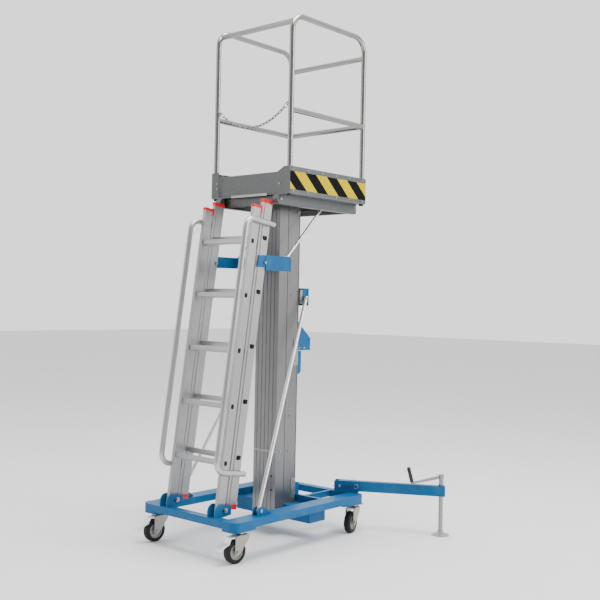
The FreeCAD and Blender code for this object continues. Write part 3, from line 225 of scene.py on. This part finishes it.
def extrusion(name, tone, rough=0.33, along=(1.0, 1.0, 0.012), ribbed=False):
    """Drawn aluminium: fine die lines along the length, cloudy oxide, and ridges on a ribbed one."""
    g = Graph(name)
    lines = g.noise(900.0, 2.0, 0.6, g.stretched(along))
    cloud = g.noise(5.0, 4.0, 0.6)
    light, dark = (tone, tone, tone * 1.01), (tone * 0.78, tone * 0.78, tone * 0.80)
    colour = g.mix(cloud, dark, light)
    colour = g.mix(g.ranged(lines, 0.3, 0.7, 0.0, 0.35), colour, (tone * 0.68, tone * 0.68, tone * 0.69))
    roughness = g.math("MULTIPLY_ADD", lines, 0.18, rough - 0.06)
    if ribbed:
        g.bump(g.ribs("Y", 1500.0), 0.5, 0.0006)
    else:
        g.bump(lines, 0.10, 0.0003)
    return g.finish(colour, roughness, 0.85, Anisotropic=0.35)


def stile_extrusion(name, tone=0.46, pitch=0.0125):
    """A ladder stile's aluminium, grooved along its length at an even pitch, with painted shade darkening
    each groove.
    """
    g = Graph(name)
    lean = math.radians(8.205)
    depth = g.vector_math("DOT_PRODUCT", g.position, (0.0, math.cos(lean), -math.sin(lean)), "Value")
    phase = g.math("FRACT", g.math("DIVIDE", depth, pitch))
    groove = g.math("MULTIPLY", g.ranged(phase, 0.02, 0.10), g.ranged(phase, 0.26, 0.18))
    cloud = g.noise(7.0, 4.0, 0.6)
    colour = g.mix(cloud, (tone * 0.82, tone * 0.82, tone * 0.83), (tone, tone, tone * 1.01))
    # Each groove is also darkened in colour: painted shade in the recess.
    colour = g.mix(g.math("MULTIPLY", groove, 0.45), colour, (tone * 0.40, tone * 0.40, tone * 0.41))
    g.bump(groove, 0.35, 0.0010)
    g.bsdf.inputs["Anisotropic"].default_value = 0.3
    return g.finish(colour, g.math("MULTIPLY_ADD", cloud, 0.16, 0.30), 0.8)


def brushed_tube(name, tone=0.36, rough=0.20):
    """Polished stainless tube with a fine brushed grain and faint finger marks."""
    g = Graph(name)
    brush = g.noise(700.0, 2.0, 0.6, g.stretched((1.0, 1.0, 0.25)))
    marks = g.noise(18.0, 4.0, 0.6)
    colour = g.mix(marks, (tone * 0.86, tone * 0.83, tone * 0.79), (tone * 1.05, tone * 1.03, tone))
    roughness = g.math("MULTIPLY_ADD", marks, 0.16, rough - 0.06)
    return g.finish(colour, g.math("MULTIPLY_ADD", brush, 0.04, roughness), 1.0)


def moulded(name, colour, rough=0.38):
    """Moulded plastic with a fine spark-eroded texture and a painted highlight on its edges."""
    g = Graph(name)
    shade = g.mix(g.noise(30.0, 3.0), tuple(c * 0.82 for c in colour), colour)
    # Every edge is painted paler by the same amount: a painted highlight.
    edge_highlight_colour = tuple(min(1.0, c * 1.3 + 0.05) for c in colour)
    shade = g.mix(g.math("MULTIPLY", g.edges(0.001), 0.4), shade, edge_highlight_colour)
    g.bump(g.noise(900.0, 1.0), 0.18, 0.0003)
    return g.finish(shade, g.math("MULTIPLY_ADD", g.noise(80.0), 0.2, rough - 0.1))


def hazard(name, start, period, slope):
    """Black and yellow stripes that fall towards the rear, printed on a matt band."""
    g = Graph(name)
    parts = g.node("ShaderNodeSeparateXYZ")
    g.feed(parts.inputs["Vector"], g.position)
    along = g.math("MULTIPLY_ADD", parts.outputs["Z"], slope, parts.outputs["Y"])
    phase = g.math("FRACT", g.math("DIVIDE", g.math("SUBTRACT", along, start), period))
    yellow_part = g.ranged(phase, 0.496, 0.504)
    yellow = g.mix(g.noise(20.0, 4.0), (0.58, 0.43, 0.0), (0.66, 0.50, 0.0))
    black = g.mix(g.noise(40.0, 4.0), (0.003, 0.003, 0.005), (0.012, 0.012, 0.015))
    colour = g.mix(yellow_part, black, yellow)
    scuff = g.ranged(g.noise(55.0, 6.0, 0.75, g.stretched((1.0, 1.0, 5.0))), 0.66, 0.78)
    colour = g.mix(g.math("MULTIPLY", scuff, 0.12), colour, (0.20, 0.18, 0.12))
    g.bump(g.noise(300.0, 2.0), 0.06, 0.0003)
    return g.finish(colour, g.math("MULTIPLY_ADD", g.noise(25.0), 0.15, 0.42), Specular_IOR_Level=0.03)


def wheel(name, node):
    """A black tyre round a pale grey hub with a darker ring; the distance from the axle tells which."""
    low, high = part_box(node)
    centre = (low + high) / 2
    joint = joint_named(node.replace("caster_wheel", "roll"))
    g = Graph(name)
    offset = g.vector_math("SUBTRACT", g.position, tuple(centre))
    off_axis = g.vector_math("CROSS_PRODUCT", offset, tuple(joint["axis"]))
    radius = g.vector_math("LENGTH", off_axis, (0, 0, 0), "Value")
    in_tyre = g.ranged(radius, 0.0419, 0.0421)
    rubber = g.mix(g.noise(90.0, 4.0, 0.7), (0.005, 0.005, 0.006), (0.018, 0.018, 0.020))
    hub = g.mix(g.noise(70.0, 4.0, 0.6), (0.26, 0.26, 0.25), (0.40, 0.40, 0.38))
    dark_ring = g.math("MULTIPLY", g.ranged(radius, 0.0375, 0.038), g.ranged(radius, 0.0405, 0.040))
    hub = g.mix(dark_ring, hub, (0.16, 0.16, 0.16))
    colour = g.mix(in_tyre, hub, rubber)
    rough = g.math("MULTIPLY_ADD", in_tyre, 0.22, 0.42)
    g.bump(g.noise(350.0, 3.0), 0.25, 0.0005)
    metallic = g.math("MULTIPLY_ADD", in_tyre, -0.45, 0.45)
    return g.finish(colour, rough, metallic, Specular_IOR_Level=0.25)


def caster_steel(name):
    """Zinc fork whose sealed swivel race is black."""
    g = Graph(name)
    parts = g.node("ShaderNodeSeparateXYZ")
    g.feed(parts.inputs["Vector"], g.position)
    race = g.math("GREATER_THAN", parts.outputs["Z"], 0.1462)
    mottle = g.noise(60.0, 4.0, 0.65)
    plate = g.mix(mottle, (0.26, 0.26, 0.23), (0.44, 0.43, 0.39))
    colour = g.mix(race, plate, (0.02, 0.02, 0.022))
    metallic = g.math("MULTIPLY_ADD", race, -0.75, 0.85)
    g.bump(g.noise(420.0, 2.0), 0.12, 0.0003)
    return g.finish(colour, g.math("MULTIPLY_ADD", g.noise(110.0), 0.2, 0.28), metallic)


BLUE = (0.0, 0.105, 0.27)
FINISHES = {
    "blue_paint": powder_coat("blue_powder_coat", BLUE),
    "zinc": zinc("zinc_plate"),
    "galvanised": galvanised("galvanised_sheet"),
    "stainless": brushed_tube("stainless_tube"),
    "mast_aluminium": extrusion("mast_extrusion", 0.27),
    "ladder_aluminium": extrusion("ladder_extrusion", 0.58),
    "hazard_paint": hazard("hazard_stripes", 1.989, 0.188, 1.1),
    "red_plastic": moulded("red_plastic", (0.70, 0.006, 0.014), 0.30),
    "black_plastic": moulded("black_plastic", (0.012, 0.012, 0.013)),
    "cable_steel": zinc("cable_steel", 0.4, 0.45),
}
SPECIAL = {
    "deck_plate": galvanised("deck_tread", 0.22, tread=True),
    "fly_rungs": extrusion("rung_tread", 0.55, 0.38, (0.012, 1.0, 1.0), ribbed=True),
    "guard_chain": zinc("chain_zinc", 0.30, 0.30),
    "brace_tubes": zinc("bright_zinc", 0.86, 0.30),
    "yoke_struts": zinc("bright_strut", 0.78, 0.24),
}
SPECIAL["front_rungs"] = SPECIAL["fly_rungs"]
SPECIAL["fly_stiles"] = SPECIAL["front_stiles"] = stile_extrusion("stile_extrusion")
SPECIAL["jack_screw_right"] = SPECIAL["jack_screw_left"] = zinc("yellow_zinc", 0.33, 0.30)
for side in ("right", "left"):
    SPECIAL["caster_pedal_front_" + side] = zinc("pedal_zinc_" + side, 0.95, 0.45)

FORK_STEEL = caster_steel("caster_steel")
for node, item in NODES.items():
    if node.startswith("caster_wheel"):
        finish = wheel(node + "_finish", node)
    elif node.startswith("caster_fork"):
        finish = FORK_STEEL
    else:
        finish = SPECIAL.get(node, FINISHES[SLOT_OF[node]])
    for place in item.material_slots:
        place.material = finish


# ---------------------------------------------------------------- small pieces
def piece(name, mesh, body, slot):
    """Add a mesh as a named piece that rides one body and wears one of the record's finishes."""
    made = bpy.data.objects.new(name, mesh)
    bpy.context.scene.collection.objects.link(made)
    mesh.materials.append(FINISHES[slot])
    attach(made, body)


def joined(name, parts):
    """One mesh from several (points, faces) lists."""
    points, faces = [], []
    for some_points, some_faces in parts:
        shift = len(points)
        points += [tuple(p) for p in some_points]
        faces += [tuple(i + shift for i in face) for face in some_faces]
    mesh = bpy.data.meshes.new(name)
    mesh.from_pydata(points, [], faces)
    mesh.validate()
    for polygon in mesh.polygons:
        polygon.use_smooth = len(polygon.vertices) == 4
    return mesh


def ring(centre, across, other, radius, sides):
    """Points evenly round a circle that lies in the plane of two directions."""
    turns = [2 * math.pi * j / sides for j in range(sides)]
    return [centre + (across * math.cos(turn) + other * math.sin(turn)) * radius for turn in turns]


def skin(points, sides):
    """The faces of a closed tube whose points are rings of the same size, one after another."""
    faces = []
    for start in range(0, len(points) - sides, sides):
        for j in range(sides):
            a, b = start + j, start + (j + 1) % sides
            faces.append((a, b, b + sides, a + sides))
    faces.append(tuple(reversed(range(sides))))
    faces.append(tuple(range(len(points) - sides, len(points))))
    return faces


def cord(path, radii, sides=10):
    """A closed tube along a path, with one radius for each point."""
    points = []
    path = [Vector(p) for p in path]
    across = None
    for k, here in enumerate(path):
        ahead = (path[min(k + 1, len(path) - 1)] - path[max(k - 1, 0)]).normalized()
        if across is None:
            across = ahead.orthogonal().normalized()
        across = (across - ahead * across.dot(ahead)).normalized()
        points += ring(here, across, ahead.cross(across), radii[k], sides)
    return points, skin(points, sides)


def along(start, end, count):
    """Evenly spaced points from one place to another."""
    return [Vector(start).lerp(Vector(end), k / (count - 1)) for k in range(count)]


def weld(start, end, size=0.0026):
    """A fillet bead with the ripples of its pools."""
    ripple = 0.0012
    count = max(6, int((Vector(end) - Vector(start)).length / ripple))
    radii = [size * (0.86 + 0.14 * abs(math.sin(k * 1.05))) for k in range(count)]
    radii[0] = radii[-1] = size * 0.4
    return cord(along(start, end, count), radii, 8)


def dome_head(place, outward, radius, height, sides=16):
    """A low domed screw or rivet head with a shallow round recess in its top."""
    outward = Vector(outward).normalized()
    across = outward.orthogonal().normalized()
    other = outward.cross(across)
    points = []
    for rise, wide in ((0.0, 1.0), (0.45, 1.0), (0.8, 0.82), (1.0, 0.5), (1.0, 0.25), (0.6, 0.2)):
        here = Vector(place) + outward * height * rise
        points += ring(here, across, other, radius * wide, sides)
    return points, skin(points, sides)


def ear_welds():
    """Beads along both faces of the four ladder ears, on the front rail."""
    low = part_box("ladder_foot_brackets")[0]
    ear_faces = (0.158, 0.164, 0.213, 0.219)
    front, rear = low.y + 0.004, low.y + 0.050
    beads = []
    for side in (-1, 1):
        for x in ear_faces:
            beads.append(weld((side * x, front, low.z), (side * x, rear, low.z)))
    piece("ear_welds", joined("ear_welds", beads), "base", "blue_paint")


def cradle_welds():
    """Beads where the mast cradle meets the side rails and the cross tube."""
    low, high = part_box("mast_cradle")
    inset, size, rail_inner = 0.004, 0.003, 0.268
    beads = []
    for x in (low.x, high.x):
        beads.append(weld((x, low.y + inset, high.z), (x, high.y - inset, high.z), size))
    for y in (low.y, high.y):
        beads.append(weld((low.x + inset, y, high.z), (-rail_inner, y, high.z), size))
        beads.append(weld((rail_inner, y, high.z), (high.x - inset, y, high.z), size))
    piece("cradle_welds", joined("cradle_welds", beads), "base", "blue_paint")


def drum_cable():
    """The cable's turns on the winch drum, laid side by side."""
    y, z = joint_named("winch_turn")["pos_m"][1:]
    turns, steps, laid, wire = 7, 40, 0.0327, 0.0025
    first_x, pitch = -0.0185, 0.0052
    path = []
    for k in range(turns * steps + 1):
        turn = 2 * math.pi * k / steps
        path.append((first_x + pitch * k / steps, y + laid * math.cos(turn), z + laid * math.sin(turn)))
    piece("drum_cable", joined("drum_cable", [cord(path, [wire] * len(path), 8)]), "winch", "cable_steel")


def hood_screws():
    """Pan-head screws that hold the winch hood's sides and rear."""
    low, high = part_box("winch_hood")
    radius, height = 0.0055, 0.003
    screws = []
    for side, x in ((-1, low.x), (1, high.x)):
        for y in (low.y + 0.018, low.y + 0.060):
            screws.append(dome_head((x, y, low.z + 0.014), (side, 0, 0), radius, height))
    for x in (-0.055, 0.055):
        screws.append(dome_head((x, high.y - 0.008, low.z + 0.040), (0, 1, 0), radius, height))
    piece("hood_screws", joined("hood_screws", screws), "base", "zinc")


def board_rivets():
    """Blind rivets along the foot of the three toe boards and the top of the two side ones."""
    low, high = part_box("toe_boards")
    radius, height, count = 0.0045, 0.0025, 6
    side_margin, rear_margin = 0.03, 0.04
    rivets = []
    for side, x in ((-1, low.x), (1, high.x)):
        for k in range(count):
            y = low.y + side_margin + (high.y - low.y - 2 * side_margin) * k / (count - 1)
            rivets.append(dome_head((x, y, low.z + 0.010), (side, 0, 0), radius, height))
            rivets.append(dome_head((x, y, high.z - 0.014), (side, 0, 0), radius, height))
    for k in range(count):
        x = low.x + rear_margin + (high.x - low.x - 2 * rear_margin) * k / (count - 1)
        rivets.append(dome_head((x, high.y, low.z + 0.012), (0, 1, 0), radius, height))
    piece("board_rivets", joined("board_rivets", rivets), "lift", "zinc")


def hub_rivets():
    """Five rivets round each wheel's hub, on both faces."""
    count, circle, hub_face = 5, 0.0265, 0.0103
    for name in NODES:
        if not name.startswith("caster_wheel"):
            continue
        joint = joint_named(name.replace("caster_wheel", "roll"))
        axis = Vector(joint["axis"]).normalized()
        centre, spoke = Vector(joint["pos_m"]), Vector((0, 0, 1))
        rivets = []
        for k in range(count):
            turn = Matrix.Rotation(2 * math.pi * k / count, 3, axis)
            for way in (-1, 1):
                place = centre + turn @ spoke * circle + axis * way * hub_face
                rivets.append(dome_head(place, axis * way, 0.0035, 0.0022, 10))
        label = name.replace("caster_wheel", "hub_rivets")
        piece(label, joined(label, rivets), name.replace("caster_wheel", "wheel"), "zinc")


def outrigger_lines():
    """For each outrigger: its side, fold pivot, the pivot's forward direction and the arm's outward one."""
    for side, way in (("right", 1), ("left", -1)):
        joint = joint_named("fold_" + side)
        hinge = Vector(joint["axis"]).normalized()
        if hinge.y > 0:
            hinge = -hinge
        out = Vector((way * abs(hinge.y), abs(hinge.x), 0))
        yield side, Vector(joint["pos_m"]), hinge, out


def latch_bars():
    """A short black spring bar on the front cheek of each outrigger bracket."""
    for side, pivot, hinge, out in outrigger_lines():
        face = pivot + hinge * 0.0272
        start, end = face + out * 0.034, face + out * 0.078
        bar = cord(along(start, end, 8), [0.0015] + [0.0032] * 6 + [0.0015], 10)
        feet = [cord(along(p - hinge * 0.002, p + hinge * 0.001, 3), [0.0045] * 3, 10) for p in (start, end)]
        label = "latch_bar_" + side
        piece(label, joined(label, [bar] + feet), "base", "black_plastic")


def pin_clips():
    """A bent wire clip on the end of each outrigger's lock pin."""
    bend, wire, steps = 0.013, 0.0013, 24
    for side, pivot, hinge, out in outrigger_lines():
        end = pivot + out * 0.100 + hinge * 0.031
        path = [end + Vector((0, 0, 0.008)) - out * 0.012]
        for k in range(steps + 1):
            turn = math.radians(-60 + 300 * k / steps)
            path.append(end + out * bend * math.sin(turn) + Vector((0, 0, bend)) * math.cos(turn))
        path.append(end - Vector((0, 0, 0.016)))
        label = "lock_pin_clip_" + side
        piece(label, joined(label, [cord(path, [wire] * len(path), 8)]), "outrigger_" + side, "zinc")


ear_welds()
cradle_welds()
drum_cable()
hood_screws()
board_rivets()
hub_rivets()
latch_bars()
pin_clips()


# ---------------------------------------------------------------- stage, light and camera
def area_light(name, place, aim, size, power):
    """A soft rectangular lamp at one place, facing another."""
    data = bpy.data.lights.new(name, "AREA")
    data.shape = "RECTANGLE"
    data.size, data.size_y = size
    data.energy = power
    lamp = bpy.data.objects.new(name, data)
    bpy.context.scene.collection.objects.link(lamp)
    lamp.location = place
    lamp.rotation_euler = (Vector(aim) - Vector(place)).to_track_quat("-Z", "Y").to_euler()


def floor():
    """One large plain pale sheet."""
    mesh = bpy.data.meshes.new("floor")
    half = 30.0
    corners = [(-half, -half, 0), (half, -half, 0), (half, half, 0), (-half, half, 0)]
    mesh.from_pydata(corners, [], [(0, 1, 2, 3)])
    plane = bpy.data.objects.new("floor", mesh)
    bpy.context.scene.collection.objects.link(plane)
    g = Graph("floor_finish")
    mesh.materials.append(g.finish(g.mix(g.noise(0.8), (0.84, 0.84, 0.84), (0.88, 0.88, 0.88)), 0.85))


def camera():
    """A low viewpoint in front of the machine, to the right of the ladder."""
    yaw, pitch, roll = math.radians(41.016), math.radians(0.177), math.radians(1.151)
    ahead = Vector((-math.sin(yaw) * math.cos(pitch), math.cos(yaw) * math.cos(pitch), math.sin(pitch)))
    side = Vector((math.cos(yaw), math.sin(yaw), 0))
    up = side.cross(ahead)
    right = side * math.cos(roll) + up * math.sin(roll)
    top = up * math.cos(roll) - side * math.sin(roll)
    data = bpy.data.cameras.new("camera")
    data.lens, data.sensor_width = 56.527, 36.0
    eye = bpy.data.objects.new("camera", data)
    bpy.context.scene.collection.objects.link(eye)
    turn = Matrix((right, top, -ahead)).transposed().to_4x4()
    eye.matrix_world = Matrix.Translation((3.74805, -4.08508, 1.35268)) @ turn
    bpy.context.scene.camera = eye


def world():
    """A pale studio: bright behind the machine and overhead, darker on the near side."""
    sky = bpy.data.worlds.new("sky")
    sky.use_nodes = True
    tree = sky.node_tree
    background = tree.nodes["Background"]
    place = tree.nodes.new("ShaderNodeTexCoord")
    facing = tree.nodes.new("ShaderNodeVectorMath")
    facing.operation = "DOT_PRODUCT"
    facing.inputs[1].default_value = (-0.60, 0.66, 0.45)
    tree.links.new(place.outputs["Generated"], facing.inputs[0])
    ramp = tree.nodes.new("ShaderNodeMapRange")
    for key, number in (("From Min", -0.45), ("From Max", 0.45), ("To Min", 0.42), ("To Max", 1.6)):
        ramp.inputs[key].default_value = number
    tree.links.new(facing.outputs["Value"], ramp.inputs["Value"])
    tree.links.new(ramp.outputs["Result"], background.inputs["Strength"])
    background.inputs["Color"].default_value = (1.0, 1.0, 1.0, 1.0)
    bpy.context.scene.world = sky


floor()
camera()
world()
area_light("top_light", (0.8, -0.2, 6.0), (0, 0, 1.0), (3.0, 3.0), 330)
area_light("right_light", (5.0, 1.8, 3.2), (0, 0, 1.2), (2.0, 3.5), 150)
area_light("left_light", (-3.0, -5.0, 3.5), (0, 0, 1.2), (1.5, 3.0), 30)
